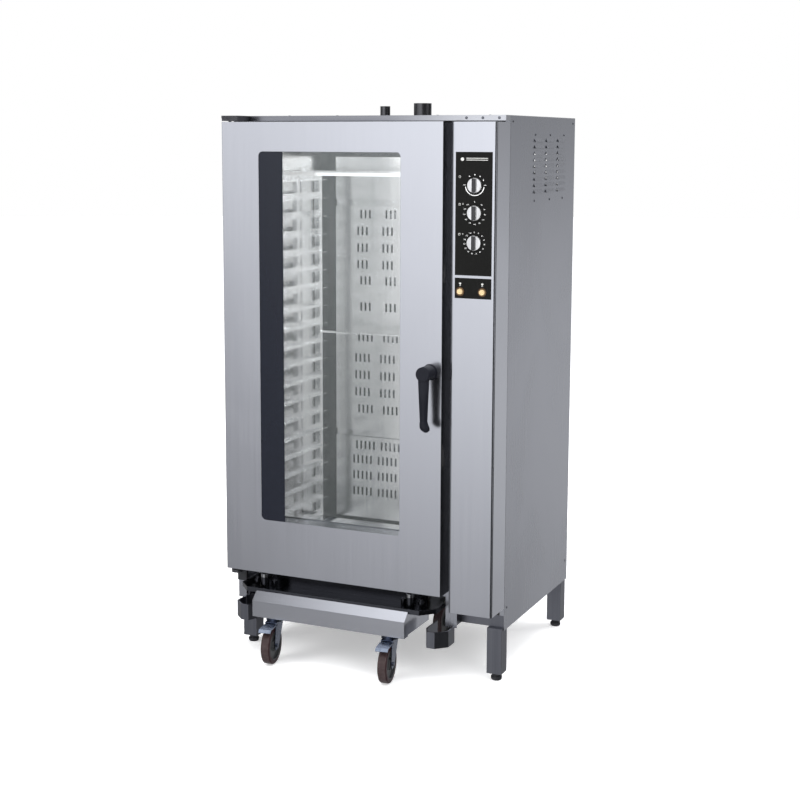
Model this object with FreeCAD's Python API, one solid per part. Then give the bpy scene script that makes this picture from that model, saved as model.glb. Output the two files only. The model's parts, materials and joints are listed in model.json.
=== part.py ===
import FreeCAD, Part
import math
import os

# Combi steamer oven with a roll-in tray trolley, one STEP file per physical piece.
# Millimetres, +Z up.  The oven is laid out from its lower left front corner: x runs from the
# left side, y runs back from the door's front face, and z is the height above the floor.
# save_all() moves that layout to the part's frame, whose origin is on the floor under the
# middle of the whole outline.

Vector = FreeCAD.Vector
UP = Vector(0, 0, 1)
BACK = Vector(0, 1, 0)
RIGHT = Vector(1, 0, 0)

# The part's frame: the outline's middle, in layout coordinates.
MIDDLE_X = 481.8
MIDDLE_Y = 336.0

# Casing
WIDTH = 960.0
DEPTH = 760.0
TOP_Z = 1808.0
BOTTOM_Z = 168.0
SHEET = 1.5
COLUMN_DEPTH = 117.0
TRIM_DROP = 17.0
FRAME_Y = 78.0

# Door
DOOR_WIDTH = 786.0
DOOR_THICKNESS = 70.0
DOOR_BOTTOM = 290.0
DOOR_TOP = 1788.0
HINGE_X = 12.0
HINGE_Y = 34.0
HINGE_PLATE_X1 = 60.0
HINGE_PIN_R = 5.0
RUNNING_GAP = 0.05
WINDOW = (137.0, 642.0, 473.0, 1693.0)
WINDOW_CORNER = 15.0
GLASS_OVERLAP = 12.0
GUTTER_DROP = 7.0

# Handle
HANDLE_X = 746.0
HANDLE_Z = 1012.0
HANDLE_STANDOFF = 62.0
HANDLE_LENGTH = 182.0
SPINDLE_R = 6.0

# Control column
FASCIA_X0 = 813.0
FASCIA_Z0 = 243.0
FASCIA_Z1 = 1787.0
FASCIA_BEND = 8.0
KNOB_X = 890.0
KNOB_Z = {"mode_knob": 1595.0, "temperature_knob": 1511.0, "timer_knob": 1420.0}
KNOB_R = 24.0
KNOB_DISC = 5.0
KNOB_GRIP = 11.0
KNOB_SHAFT_R = 3.0
BUTTON_X = {"left_button": 845.0, "right_button": 918.0}
BUTTON_Z = 1270.0
BUTTON_R = 9.5
BUTTON_TRAVEL = 3.0
OVERLAY_X = (827.0, 947.0)
OVERLAY_Z = (1320.0, 1696.0)
BUTTON_OVERLAY_Z = (1249.0, 1312.0)
FILM = 0.8

# Cavity
CAVITY = (85.0, 735.0, 80.0, 640.0, 350.0, 1705.0)
OPENING = (100.0, 712.0)
OPENING_TOP = 1700.0
CHANNEL = (40.0, 772.0)
CHANNEL_TOP = 268.0
BAFFLE_Y = 560.0
BAFFLE = (134.0, 686.0)
BAFFLE_SPLITS = (350.0, 675.0, 1510.0, 1680.0)
BAFFLE_BAND = 24.0
FAN_X = 410.0
FAN_Z = (520.0, 920.0, 1350.0)
FAN_R = 140.0
FAN_SHAFT_R = 7.0
HEATER_R = 165.0
STACKS = {"small": (380.0, 450.0, 17.0, 1846.0), "large": (520.0, 450.0, 30.0, 1855.0)}
LAMP_Z = (700.0, 1300.0)

# Stand
BEAM = 40.0
BEAM_Z = 177.0
LEG = 50.0
LEG_BOTTOM = 25.0
LEG_X = (5.0, 908.0)
LEG_Y = (100.0, 700.0)

# Trolley
TROLLEY_X = 405.0
TRAY_FRONT = -20.0
TRAY_BACK = 480.0
TRAY_HALF = 358.0
TRAY_CHAMFER = 42.0
TRAY_Z = (226.0, 241.0)
APRON_HALF = 278.0
SKIRT_END = 150.0
CHASSIS_Z = (157.0, 187.0)
POST_OFFSET = 268.0
CASTER_OFFSET = 212.5
CASTER_TRAIL = 38.0
CASTER_TURN = 8.0
FRONT_SWIVEL_Y = -12.0
REAR_AXLE_Y = 430.0
WHEEL_R = 62.5
WHEEL_HALF = 15.0
AXLE_R = 6.0
RACK_HALF = 267.5
RACK_POST = 20.0
RACK_POST_Y = (120.0, 262.0, 425.0)
RACK_TOP = 1625.0
RUNNER_COUNT = 20
RUNNER_FIRST_Z = 395.0
RUNNER_PITCH = 63.0
PEDAL_AXIS = (-34.0, 131.0)
PEDAL_PIN_R = 3.0


# ---- shape helpers -------------------------------------------------------------------

def block(x0, x1, y0, y1, z0, z1):
    """A box between the given layout coordinates."""
    return Part.makeBox(x1 - x0, y1 - y0, z1 - z0, Vector(x0, y0, z0))


def rod(start, end, radius):
    """A round bar between two points."""
    axis = Vector(*end) - Vector(*start)
    return Part.makeCylinder(radius, axis.Length, Vector(*start), axis)


def tube(start, end, outer, inner):
    """A round tube between two points."""
    return rod(start, end, outer).cut(rod(start, end, inner))


def prism(points, sweep):
    """A straight bar whose section is the closed polygon through the points."""
    corners = [Vector(*p) for p in points]
    face = Part.Face(Part.makePolygon(corners + corners[:1]))
    return face.extrude(Vector(*sweep))


def joined(shapes):
    """One solid out of touching or overlapping shapes."""
    return shapes[0].multiFuse(shapes[1:]).removeSplitter()


def group(shapes):
    """Separate solids kept together in one piece list."""
    return Part.makeCompound(shapes)


def rounded(shape, radius, direction):
    """The shape with its edges along a direction rounded."""
    edges = [e for e in shape.Edges if abs(e.tangentAt(e.FirstParameter).dot(direction)) > 0.99]
    return shape.makeFillet(radius, edges)


def square_tube(x0, x1, y0, y1, z0, z1, along, wall=3.0):
    """A rectangular tube, open at both ends along x, y or z."""
    inset = [0 if along == axis else wall for axis in "xyz"]
    inner = block(x0 + inset[0], x1 - inset[0], y0 + inset[1], y1 - inset[1],
                  z0 + inset[2], z1 - inset[2])
    return block(x0, x1, y0, y1, z0, z1).cut(inner)


def strip(plan, thickness, z0, z1):
    """An upright bent strip: its inner face follows the plan points, mitred at each bend."""
    offset = []
    for i, point in enumerate(plan):
        here = Vector(point[0], point[1], 0)
        normals = []
        for a, b in ((i - 1, i), (i, i + 1)):
            if a >= 0 and b < len(plan):
                run = Vector(plan[b][0] - plan[a][0], plan[b][1] - plan[a][1], 0).normalize()
                normals.append(Vector(-run.y, run.x, 0))
        mean = (normals[0] + normals[-1]).normalize()
        offset.append(here + mean * (thickness / mean.dot(normals[0])))
    outline = [(p[0], p[1], z0) for p in plan] + [(p.x, p.y, z0) for p in reversed(offset)]
    return prism(outline, (0, 0, z1 - z0))


def mirrored(shape, centre_x):
    """The same piece for the other side of an upright plane."""
    return shape.mirror(Vector(centre_x, 0, 0), RIGHT)


def window_block(grow, y0, y1):
    """The window's rounded rectangle, grown on every side, between two depths."""
    x0, x1, z0, z1 = WINDOW
    body = block(x0 - grow, x1 + grow, y0, y1, z0 - grow, z1 + grow)
    return rounded(body, WINDOW_CORNER + grow, BACK)


# ---- casing --------------------------------------------------------------------------

LOUVRE_COLUMNS = ((341.0, 424.0), (455.0, 540.0), (574.0, 651.0))
LOUVRE_ROWS = 9
LOUVRE_PITCH = 20.6
LOUVRE_FIRST_Z = 1562.0
LOUVRE_HEIGHT = 12.0
LOUVRE_OUT = 5.0


def louvre_hood(y0, y1, z):
    """A pressed hood: closed along its top and rear end, open below and at its front end."""
    out = WIDTH + LOUVRE_OUT
    root = WIDTH - 0.8
    wall = 1.3
    top = z + LOUVRE_HEIGHT
    outer = prism([(root, y0, z), (out, y0, z), (out, y0, z + 1), (WIDTH, y0, top), (root, y0, top)],
                  (0, y1 - y0, 0))
    inner = prism([(root - 1, y0 - 1, z - 1), (out - wall, y0 - 1, z - 1), (out - wall, y0 - 1, z + 0.6),
                   (root + 0.3, y0 - 1, top - 2), (root - 1, y0 - 1, top - 2)],
                  (0, y1 - y0 + 1 - wall, 0))
    return outer.cut(inner)


def side_panel_right():
    x1 = WIDTH
    plate = block(x1 - SHEET, x1, COLUMN_DEPTH, DEPTH - SHEET, BOTTOM_Z, TOP_Z - SHEET)
    front_fold = block(x1 - 16, x1 - SHEET, COLUMN_DEPTH, COLUMN_DEPTH + SHEET, BEAM_Z + BEAM, TOP_Z - SHEET)
    slots = []
    hoods = []
    for y0, y1 in LOUVRE_COLUMNS:
        for row in range(LOUVRE_ROWS):
            z = LOUVRE_FIRST_Z + row * LOUVRE_PITCH
            slots.append(block(x1 - SHEET, x1, y0, y1 - 1.3, z, z + LOUVRE_HEIGHT - 2))
            hoods.append(louvre_hood(y0, y1, z))
    return joined([plate.cut(slots), front_fold] + hoods)


def side_panel_left():
    plate = block(0, SHEET, FRAME_Y, DEPTH - SHEET, BOTTOM_Z, TOP_Z - SHEET)
    front_fold = block(SHEET, 30, FRAME_Y, FRAME_Y + SHEET, BOTTOM_Z, CHANNEL_TOP)
    return joined([plate, front_fold])


def rear_panel():
    plate = block(0, WIDTH, DEPTH - SHEET, DEPTH, BOTTOM_Z, TOP_Z - SHEET)
    holes = [rod((x, DEPTH - 5, z), (x, DEPTH + 5, z), r) for x, z, r in REAR_PORTS]
    vents = [block(760, 900, DEPTH - 5, DEPTH + 5, z, z + 6) for z in range(1500, 1700, 20)]
    vents += [block(150 + 180 * k, 270 + 180 * k, DEPTH - 5, DEPTH + 5, z, z + 6)
              for k in range(3) for z in range(1710, 1770, 20)]
    return plate.cut(holes + vents)


def top_panel():
    plate = block(0, WIDTH, COLUMN_DEPTH, DEPTH, TOP_Z - SHEET, TOP_Z)
    holes = [rod((x, y, TOP_Z - 9), (x, y, TOP_Z + 9), r + 0.5) for x, y, r, _ in STACKS.values()]
    ribs = [block(60, WIDTH - 60, y, y + 20, TOP_Z - 11.5, TOP_Z - SHEET) for y in (220, 640)]
    return joined([plate.cut(holes)] + ribs)


def top_front_trim():
    x0 = HINGE_PLATE_X1 + 2
    y0 = FRAME_Y - SHEET
    top = block(x0, WIDTH, y0, COLUMN_DEPTH, TOP_Z - SHEET, TOP_Z)
    front = block(x0, WIDTH, y0, FRAME_Y, TOP_Z - TRIM_DROP, TOP_Z)
    side = block(WIDTH - SHEET, WIDTH, y0, COLUMN_DEPTH - 0.5, TOP_Z - TRIM_DROP, TOP_Z)
    behind_hinge = block(0, x0, FRAME_Y, COLUMN_DEPTH, TOP_Z - SHEET, TOP_Z)
    return joined([top, front, side, behind_hinge])


def base_frame():
    z0 = BEAM_Z
    z1 = BEAM_Z + BEAM
    back = DEPTH - 4
    beams = [
        square_tube(SHEET, CHANNEL[0], FRAME_Y + 2, back - BEAM, z0, z1, "y"),
        square_tube(CHANNEL[1], CHANNEL[1] + BEAM, FRAME_Y + 2, back - BEAM, z0, z1, "y"),
        square_tube(WIDTH - SHEET - BEAM, WIDTH - SHEET, COLUMN_DEPTH + 2, back - BEAM, z0, z1, "y"),
        square_tube(SHEET, WIDTH - SHEET, back - BEAM, back, z0, z1, "x"),
        square_tube(CHANNEL[1] + BEAM, WIDTH - SHEET - BEAM, COLUMN_DEPTH + 2, COLUMN_DEPTH + 2 + BEAM,
                    z0, z1, "x"),
    ]
    right = 2
    cap = block(WIDTH - SHEET - BEAM, WIDTH - SHEET, COLUMN_DEPTH + 2, COLUMN_DEPTH + 4, z0, z1)
    beams[right] = joined([beams[right], cap])
    return group(beams)


def leg_corners():
    """The lower left front corner of each of the four legs, on plan."""
    return [(x, y) for x in LEG_X for y in LEG_Y]


def legs():
    solids = []
    for x, y in leg_corners():
        post = square_tube(x, x + LEG, y, y + LEG, LEG_BOTTOM, BEAM_Z, "z")
        plug = block(x + 3, x + LEG - 3, y + 3, y + LEG - 3, LEG_BOTTOM, LEG_BOTTOM + 10)
        centre = (x + LEG / 2, y + LEG / 2)
        hole = rod((*centre, 0), (*centre, 90), 8 + RUNNING_GAP)
        lid = block(x + 2, x + LEG - 2, y + 2, y + LEG - 2, BEAM_Z - 3, BEAM_Z)
        solids.append(joined([post, plug, lid]).cut(hole))
    return group(solids)


def levelling_feet():
    solids = []
    for x, y in leg_corners():
        centre = (x + LEG / 2, y + LEG / 2)
        pad = Part.makeCone(15, 18, 4, Vector(*centre, 0), UP)
        dome = rod((*centre, 4), (*centre, 12), 18)
        neck = rod((*centre, 12), (*centre, LEG_BOTTOM - 1), 14)
        thread = rod((*centre, 12), (*centre, 62), 8)
        solids.append(joined([pad, dome, neck, thread]))
    return group(solids)


def panel_screws():
    solids = []
    for y, z in ((351, 1750), (498, 1750), (641, 1750), (347, 1539), (498, 1539), (633, 1539),
                 (140, 1790), (738, 1790), (140, 240), (738, 240)):
        solids.append(Part.makeCone(4.5, 3.0, 1.4, Vector(WIDTH, y, z), RIGHT))
        if not 300 < y < 700:
            solids.append(Part.makeCone(4.5, 3.0, 1.4, Vector(0, y, z), RIGHT * -1))
    for x in (830, 884, 938):
        solids.append(Part.makeCone(4.5, 3.0, 1.4, Vector(x, FRAME_Y - SHEET, TOP_Z - 8.5), BACK * -1))
    for x in range(200, 901, 175):
        solids.append(Part.makeCone(4.5, 3.0, 1.4, Vector(x, 97, TOP_Z), UP))
    for x in (60, 300, 660, 900):
        for z in (215, 900, 1790):
            solids.append(Part.makeCone(4.5, 3.0, 1.4, Vector(x, DEPTH, z), BACK))
    return group(solids)


# ---- oven front ----------------------------------------------------------------------

def front_frame():
    y0 = FRAME_Y
    y1 = FRAME_Y + 2
    right = FASCIA_X0 - 1
    plate = block(SHEET, right, y0, y1, CHANNEL_TOP, DOOR_TOP)
    lower_right = block(CHANNEL[1], right, y0, y1, BOTTOM_Z, CHANNEL_TOP)
    mouth = block(OPENING[0], OPENING[1], y0 - 1, y1 + 1, 0, OPENING_TOP)
    jamb_left = block(OPENING[0] - 1.5, OPENING[0], y1, y1 + 14, CHANNEL_TOP, OPENING_TOP)
    jamb_right = block(OPENING[1], OPENING[1] + 1.5, y1, y1 + 14, CHANNEL_TOP, OPENING_TOP)
    head = block(OPENING[0] - 1.5, OPENING[1] + 1.5, y1, y1 + 14, OPENING_TOP, OPENING_TOP + 1.5)
    return joined([plate.cut(mouth), lower_right, jamb_left, jamb_right, head])


def door_gasket():
    y0 = DOOR_THICKNESS + 0.4
    left = block(OPENING[0] - 16, OPENING[0] - 2, y0, FRAME_Y, CHANNEL_TOP, OPENING_TOP + 16)
    right = block(OPENING[1] + 2, OPENING[1] + 16, y0, FRAME_Y, CHANNEL_TOP, OPENING_TOP + 16)
    head = block(OPENING[0] - 2, OPENING[1] + 2, y0, FRAME_Y, OPENING_TOP + 2, OPENING_TOP + 16)
    return group([left, right, head])


def hinge_brackets():
    axis = (HINGE_X, HINGE_Y)
    upper_plate = block(1, HINGE_PLATE_X1, 0.5, FRAME_Y, DOOR_TOP + 3, TOP_Z - 9)
    upper_cap = block(0, HINGE_PLATE_X1, 0, FRAME_Y - 1, TOP_Z - 9, TOP_Z)
    upper_pin = rod((*axis, DOOR_TOP - 24), (*axis, DOOR_TOP + 4), HINGE_PIN_R)
    upper = joined([upper_plate, upper_cap, upper_pin])
    z1 = DOOR_BOTTOM - GUTTER_DROP - 2
    outline = [(3, 26, z1 - 10), (12, 14, z1 - 10), (34, 14, z1 - 10), (38, 24, z1 - 10),
               (38, FRAME_Y, z1 - 10), (3, FRAME_Y, z1 - 10)]
    lower_plate = prism(outline, (0, 0, 10))
    lower_leg = block(3, 38, FRAME_Y - 12, FRAME_Y, z1 - 50, z1 - 10)
    lower_pin = rod((*axis, z1), (*axis, DOOR_BOTTOM + 24), HINGE_PIN_R)
    return group([upper, joined([lower_plate, lower_leg, lower_pin])])


def latch_keeper():
    x = HANDLE_X
    z = HANDLE_Z
    foot = block(x - 14, x + 14, FRAME_Y - 3, FRAME_Y, z - 30, z + 30)
    arm = block(x + 6, x + 10, 58, FRAME_Y - 3, z - 20, z + 20)
    hook = block(x - 4, x + 10, 56, 60, z - 20, z + 20)
    return joined([foot, arm, hook])


def control_fascia():
    shell = block(FASCIA_X0, WIDTH, 0, COLUMN_DEPTH - 1.5, FASCIA_Z0, FASCIA_Z1)
    front_edges = [e for e in shell.Edges
                   if e.BoundBox.ZLength > 100 and e.BoundBox.YMax < 1]
    shell = shell.makeFillet(FASCIA_BEND, front_edges)
    hollow = block(FASCIA_X0 + SHEET, WIDTH - SHEET, SHEET, COLUMN_DEPTH, FASCIA_Z0 + SHEET, FASCIA_Z1 - SHEET)
    inner_edges = [e for e in hollow.Edges if e.BoundBox.ZLength > 100 and e.BoundBox.YMax < SHEET + 1]
    hollow = hollow.makeFillet(FASCIA_BEND - SHEET, inner_edges)
    holes = [rod((KNOB_X, -5, z), (KNOB_X, 5, z), 5.3) for z in KNOB_Z.values()]
    holes += [rod((x, -5, BUTTON_Z), (x, 5, BUTTON_Z), 11.2) for x in BUTTON_X.values()]
    return shell.cut([hollow] + holes)


def control_overlays():
    panels = []
    for z0, z1 in (OVERLAY_Z, BUTTON_OVERLAY_Z):
        panels.append(block(OVERLAY_X[0], OVERLAY_X[1], -FILM, 0, z0, z1))
    knob_holes = [rod((KNOB_X, -5, z), (KNOB_X, 5, z), 5.3) for z in KNOB_Z.values()]
    button_holes = [rod((x, -5, BUTTON_Z), (x, 5, BUTTON_Z), 11.2) for x in BUTTON_X.values()]
    return group([panels[0].cut(knob_holes), panels[1].cut(button_holes)])


def rotary_switches():
    solids = []
    for z in KNOB_Z.values():
        body = block(KNOB_X - 21, KNOB_X + 21, SHEET, 34, z - 21, z + 21)
        bush = rod((KNOB_X, -0.6, z), (KNOB_X, SHEET, z), 5.1)
        bore = rod((KNOB_X, -2, z), (KNOB_X, 20, z), KNOB_SHAFT_R + RUNNING_GAP)
        solids.append(joined([body, bush]).cut(bore))
    return group(solids)


def button_switches():
    solids = []
    for x in BUTTON_X.values():
        bezel = rod((x, -2.8, BUTTON_Z), (x, -FILM, BUTTON_Z), 13.5)
        body = rod((x, -FILM, BUTTON_Z), (x, 28, BUTTON_Z), 11.0)
        well = rod((x, -4, BUTTON_Z), (x, 6, BUTTON_Z), BUTTON_R + 0.4)
        bore = rod((x, 0, BUTTON_Z), (x, 16, BUTTON_Z), 4 + RUNNING_GAP)
        solids.append(joined([bezel, body]).cut([well, bore]))
    return group(solids)


def knob(z):
    """A rotary knob: a flat disc with a raised grip bar and its shaft."""
    front = -FILM - 1.0
    disc = Part.makeCone(KNOB_R, KNOB_R - 1.5, KNOB_DISC, Vector(KNOB_X, front, z), BACK * -1)
    y0 = front - KNOB_GRIP
    y1 = front - KNOB_DISC + 1
    grip = block(KNOB_X - 6.5, KNOB_X + 6.5, y0, y1, z - KNOB_R + 1, z + KNOB_R - 1)
    grip = grip.common(rod((KNOB_X, y0, z), (KNOB_X, y1, z), KNOB_R - 2.5))
    shaft = rod((KNOB_X, front, z), (KNOB_X, 16, z), KNOB_SHAFT_R)
    return joined([disc, rounded(grip, 2.0, UP), shaft])


def button(x):
    cap = Part.makeCone(BUTTON_R, BUTTON_R - 1, 6, Vector(x, -1, BUTTON_Z), BACK * -1)
    stem = rod((x, -1, BUTTON_Z), (x, 10, BUTTON_Z), 4)
    return joined([cap, stem])


# ---- door ----------------------------------------------------------------------------

BUSH_R = 9.0


def door_outer_skin():
    inner_y = DOOR_THICKNESS - SHEET
    shell = block(0, DOOR_WIDTH, 0, inner_y, DOOR_BOTTOM, DOOR_TOP)
    front_edges = [e for e in shell.Edges if e.BoundBox.ZLength > 100 and e.BoundBox.YMax < 1]
    shell = shell.makeFillet(2.5, front_edges)
    hollow = block(SHEET, DOOR_WIDTH - SHEET, SHEET, DOOR_THICKNESS, DOOR_BOTTOM + SHEET, DOOR_TOP - SHEET)
    spindle = rod((HANDLE_X, -5, HANDLE_Z), (HANDLE_X, 9, HANDLE_Z), SPINDLE_R + 0.5)
    bushes = rod((HINGE_X, HINGE_Y, 0), (HINGE_X, HINGE_Y, TOP_Z), BUSH_R)
    skin = shell.cut([hollow, window_block(0, -5, 9), spindle, bushes])
    z0 = DOOR_BOTTOM - GUTTER_DROP
    gutter = joined([block(60, DOOR_WIDTH - 8, 20, 21.5, z0, DOOR_BOTTOM),
                     block(60, DOOR_WIDTH - 8, 20, 62, z0, z0 + SHEET),
                     block(60, DOOR_WIDTH - 8, 60.5, 62, z0, DOOR_BOTTOM)])
    return joined([skin, gutter])


def door_inner_panel():
    y1 = DOOR_THICKNESS
    plate = block(0, DOOR_WIDTH, y1 - SHEET, y1, DOOR_BOTTOM, DOOR_TOP)
    recess = block(HANDLE_X - 18, HANDLE_X + 18, y1 - 9, y1 + 9, HANDLE_Z - 36, HANDLE_Z + 36)
    return plate.cut([window_block(-1, y1 - 9, y1 + 9), recess])


def outer_glass():
    return window_block(GLASS_OVERLAP, SHEET + 0.1, SHEET + 5.1)


def inner_glass():
    y1 = DOOR_THICKNESS - SHEET - 0.1
    return window_block(GLASS_OVERLAP + 12, y1 - 5, y1)


def window_spacer():
    y0 = SHEET + 5.2
    y1 = DOOR_THICKNESS - SHEET - 5.2
    return window_block(GLASS_OVERLAP - 1, y0, y1).cut(window_block(1.5, y0 - 1, y1 + 1))


def hinge_bushes():
    solids = []
    for z0, z1 in ((DOOR_BOTTOM, DOOR_BOTTOM + 26), (DOOR_TOP - 26, DOOR_TOP)):
        solids.append(tube((HINGE_X, HINGE_Y, z0), (HINGE_X, HINGE_Y, z1), BUSH_R, HINGE_PIN_R + RUNNING_GAP))
    return group(solids)


def door_handle():
    x = HANDLE_X
    z = HANDLE_Z
    front = -HANDLE_STANDOFF
    rose = Part.makeCone(26, 24, 8, Vector(x, -0.6, z), BACK * -1)
    hub = rod((x, -8.6, z), (x, front, z), 23.5)
    hub = hub.makeFillet(4.0, [e for e in hub.Edges if e.BoundBox.YMax < front + 1])
    lever_top = (20.0, 24.0)
    sections = ((0, 19.5, 10.5, 0), (35, 18.0, 10.0, 0), (95, 15.0, 9.5, 0), (148, 12.5, 9.0, 0.5),
                (158, 14.5, 10.5, 1.5), (168, 16.5, 12.0, 4.0), (176, 14.0, 10.0, 6.5),
                (HANDLE_LENGTH, 6.0, 5.0, 8.0))
    mid_y = front + lever_top[1] / 2
    wires = []
    for down, half_w, half_d, lean in sections:
        centre = Vector(x + lean, mid_y, z - down)
        ring = Part.Ellipse(centre + RIGHT * half_w, centre + BACK * half_d, centre)
        wires.append(Part.Wire(ring.toShape()))
    lever = Part.makeLoft(wires, True, True)
    socket = rod((x, -44, z), (x, 5, z), SPINDLE_R)
    return joined([rose, hub, lever]).cut(socket)


def handle_spindle():
    x = HANDLE_X
    z = HANDLE_Z
    shaft = rod((x, -44, z), (x, 50, z), SPINDLE_R)
    collar = rod((x, 12, z), (x, 18, z), 12)
    cam = block(x - 9, x + 5, 44, 50, z - 26, z + 12)
    return joined([shaft, collar, cam])


# ---- cavity --------------------------------------------------------------------------

def cavity_liner():
    x0, x1, y0, y1, z0, z1 = CAVITY
    t = SHEET
    stack_holes = [rod((x, y, z1 - 5), (x, y, z1 + 9), r) for x, y, r, _ in STACKS.values()]
    shaft_holes = [rod((FAN_X, y1 - 5, z), (FAN_X, y1 + 9, z), 14) for z in FAN_Z]
    tail_holes = [rod((FAN_X, y1 - 5, z - HEATER_R), (FAN_X, y1 + 9, z - HEATER_R), 6.0) for z in FAN_Z]
    lamp_holes = [rod((x1 - 5, 200, z), (x1 + 9, 200, z), 28) for z in LAMP_Z]
    steam_hole = rod((x1 - 5, STEAM_Y, STEAM_PIPE_Z), (x1 + 9, STEAM_Y, STEAM_PIPE_Z), 16)
    drain_hole = rod((FAN_X, 600, z0 - 9), (FAN_X, 600, z0 + 9), 22)
    plates = [
        block(x0 - t, x0, y0 + 14, y1, z0 - t, z1 + t),
        block(x1, x1 + t, y0 + 14, y1, z0 - t, z1 + t).cut(lamp_holes + [steam_hole]),
        block(x0, x1, y0 + 14, y1, z1, z1 + t).cut(stack_holes),
        block(x0 - t, x1 + t, y1, y1 + t, z0 - t, z1 + t).cut(shaft_holes + tail_holes),
        block(x0, 112, y0 + 14, 556, z0 - t, z0),
        block(698, x1, y0 + 14, 556, z0 - t, z0),
        block(x0, x1, 556, y1, z0 - t, z0).cut(drain_hole),
        block(x0, BAFFLE[0] - 1, 598, 598 + t, z0, z1),
        block(BAFFLE[1] + 1, x1, 598, 598 + t, z0, z1),
    ]
    for z in BAFFLE_SPLITS[1:3]:
        plates.append(block(BAFFLE[0] + 2, BAFFLE[1] - 2, BAFFLE_Y + 6, BAFFLE_Y + 8, z - 22, z + 22))
    return group(plates)


SLOT_SIZE = (7.0, 30.0)
SLOT_GROUPS = (-170.0, -71.0, 71.0, 170.0)


def slot_cuts(fan_z, rows, across):
    """Upright air slots in groups around one fan."""
    cuts = []
    for dz in rows:
        lean = 12.0 if abs(dz) > 100 else 0.0
        for centre in SLOT_GROUPS:
            middle = FAN_X + centre - math.copysign(lean, centre)
            for k in range(across):
                x = middle + (k - (across - 1) / 2) * 17.0 - SLOT_SIZE[0] / 2
                z = fan_z + dz - SLOT_SIZE[1] / 2
                cuts.append(block(x, x + SLOT_SIZE[0], BAFFLE_Y - 5, BAFFLE_Y + 9, z, z + SLOT_SIZE[1]))
    return cuts


def baffle(z0, z1, cuts):
    """A slotted sheet standing in front of the fans, its four edges folded back."""
    x0, x1 = BAFFLE
    y = BAFFLE_Y
    t = SHEET
    face = block(x0, x1, y, y + t, z0, z1)
    face = face.cut(cuts) if cuts else face
    folds = [block(x0, x0 + t, y, y + 34, z0, z1), block(x1 - t, x1, y, y + 34, z0, z1)]
    return joined([face] + folds)


def fan_baffle_lower():
    z0 = BAFFLE_SPLITS[0] + 12
    z1 = BAFFLE_SPLITS[1] - BAFFLE_BAND / 2
    return baffle(z0, z1, slot_cuts(FAN_Z[0], (-60, 0, 58, 112), 5))


def fan_baffle_middle():
    z0 = BAFFLE_SPLITS[1] + BAFFLE_BAND / 2
    z1 = BAFFLE_SPLITS[2] - BAFFLE_BAND / 2
    lower = slot_cuts(FAN_Z[1], (-154, -92, -30, 32, 108), 4)
    upper = slot_cuts(FAN_Z[2], (-212, -117, -60, 0, 60, 120), 3)
    return baffle(z0, z1, lower + upper)


def fan_baffle_upper():
    z0 = BAFFLE_SPLITS[2] + BAFFLE_BAND / 2
    return baffle(z0, BAFFLE_SPLITS[3] - 8, [])


def insulation():
    x0, x1, y0, y1, z0, z1 = CAVITY
    motor_holes = [rod((FAN_X, y1, z), (FAN_X, y1 + 40, z), 75) for z in FAN_Z]
    tail_holes = [rod((FAN_X, y1, z - HEATER_R), (FAN_X, y1 + 40, z - HEATER_R), 22) for z in FAN_Z]
    stack_holes = [rod((x, y, z1), (x, y, z1 + 90), r + 1) for x, y, r, _ in STACKS.values()]
    lamp_holes = [rod((x1, 200, z), (x1 + 60, 200, z), 34) for z in LAMP_Z]
    steam_hole = rod((x1, STEAM_Y, STEAM_PIPE_Z), (x1 + 60, STEAM_Y, STEAM_PIPE_Z), 17)
    return group([
        block(x0 - 38, x0 - 2, y0 + 16, y1, z0, z1),
        block(x1 + 2, x1 + 34, y0 + 16, y1, z0, z1).cut(lamp_holes + [steam_hole]),
        block(x0, x1, y0 + 16, y1, z1 + 2, z1 + 50).cut(stack_holes),
        block(x0, x1, y1 + 2, y1 + 18, z0, z1).cut(motor_holes + tail_holes),
    ])


def fan_motors():
    y0 = CAVITY[3] + 2
    solids = []
    for z in FAN_Z:
        flange = rod((FAN_X, y0, z), (FAN_X, y0 + 8, z), 72)
        case = rod((FAN_X, y0 + 8, z), (FAN_X, y0 + 98, z), 54)
        ribs = [block(FAN_X - 60, FAN_X + 60, y0 + 16, y0 + 88, z + dz - 1.5, z + dz + 1.5)
                for dz in (-30, -15, 0, 15, 30)]
        bore = rod((FAN_X, y0 - 5, z), (FAN_X, y0 + 66, z), FAN_SHAFT_R + RUNNING_GAP)
        solids.append(joined([flange, case] + ribs).cut(bore))
    return group(solids)


def fan_wheel(z):
    """A radial fan wheel: back plate, front ring, hub, ten blades and its shaft."""
    y0 = 584.0
    y1 = 628.0
    back = rod((FAN_X, y1 - 2, z), (FAN_X, y1, z), FAN_R)
    ring = tube((FAN_X, y0, z), (FAN_X, y0 + 2, z), FAN_R, FAN_R - 22)
    hub = rod((FAN_X, y0, z), (FAN_X, y1, z), 20)
    shaft = rod((FAN_X, y0 - 6, z), (FAN_X, CAVITY[3] + 66, z), FAN_SHAFT_R)
    blade = block(FAN_X - 1, FAN_X + 1, y0 + 1, y1 - 1, z + 62, z + FAN_R - 1)
    blades = []
    for k in range(10):
        turned = blade.copy()
        turned.rotate(Vector(FAN_X, 0, z), BACK, 36 * k)
        blades.append(turned)
    return joined([back, ring, hub, shaft] + blades)


def heating_elements():
    solids = []
    for z in FAN_Z:
        centre = Vector(FAN_X, 0, z)
        coils = [Part.makeTorus(HEATER_R, 4.5, centre + BACK * y, BACK) for y in (592, 610)]
        tail = rod((FAN_X, 584, z - HEATER_R), (FAN_X, 672, z - HEATER_R), 4.9)
        nut = rod((FAN_X, 642, z - HEATER_R), (FAN_X, 654, z - HEATER_R), 14)
        solids.append(joined(coils + [tail, nut]))
    return group(solids)


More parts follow.
